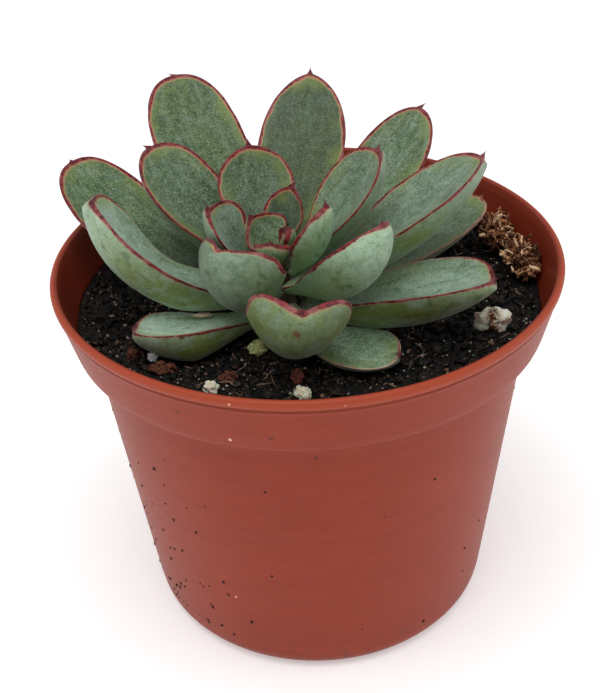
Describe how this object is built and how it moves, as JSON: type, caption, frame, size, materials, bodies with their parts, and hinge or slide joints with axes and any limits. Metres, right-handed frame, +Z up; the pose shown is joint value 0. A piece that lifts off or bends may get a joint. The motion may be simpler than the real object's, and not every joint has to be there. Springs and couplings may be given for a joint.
{
  "type": "potted echeveria pulidonis",
  "caption": "Rosette succulent with fleshy red-edged blue-green leaves, growing in dark soil in a round terracotta-coloured plastic nursery pot.",
  "frame": {"origin": "middle of the pot's flat underside, on the axis of the pot", "axes": "+Z up along the pot's axis, -Y towards the viewer of the picture, +X to that viewer's right"},
  "size_m": [0.085, 0.085, 0.0883],
  "materials": {
    "pot": "moulded, softly satin",
    "soil": "crumbly, fibrous, matte",
    "stem": "matte",
    "leaf": "waxy bloom, red margin",
    "bud": "waxy",
    "pumice": "rough, porous",
    "perlite": "rough, porous",
    "bark": "rough",
    "coir": "fibrous",
    "green_chunk": "rough, speckled",
    "scale": "dry, papery"
  },
  "bodies": {
    "root": {"pot": "pot", "soil": "soil", "stem": "stem", "bud": "bud", "leaf_low_front_right": "leaf", "leaf_low_front_left": "leaf", "leaf_low_back_right": "leaf", "leaf_low_back_left": "leaf", "leaf_low_right": "leaf", "leaf_outer_right": "leaf", "leaf_outer_left": "leaf", "leaf_outer_back_right": "leaf", "leaf_outer_back": "leaf", "leaf_outer_back_left": "leaf", "leaf_middle_left": "leaf", "leaf_middle_front": "leaf", "leaf_middle_right": "leaf", "leaf_middle_back_left": "leaf", "leaf_middle_back_right": "leaf", "leaf_middle_back": "leaf", "leaf_inner_front_right": "leaf", "leaf_inner_front_left": "leaf", "leaf_young_right": "leaf", "leaf_young_back": "leaf", "leaf_young_left": "leaf", "pumice": "pumice", "perlite_front": "perlite", "perlite_left": "perlite", "white_grain": "perlite", "bark_left": "bark", "bark_left_small": "bark", "bark_front": "bark", "stick": "bark", "coir_back": "coir", "coir_side": "coir", "green_chunk": "green_chunk", "withered_scale": "scale"}
  },
  "joints": []
}
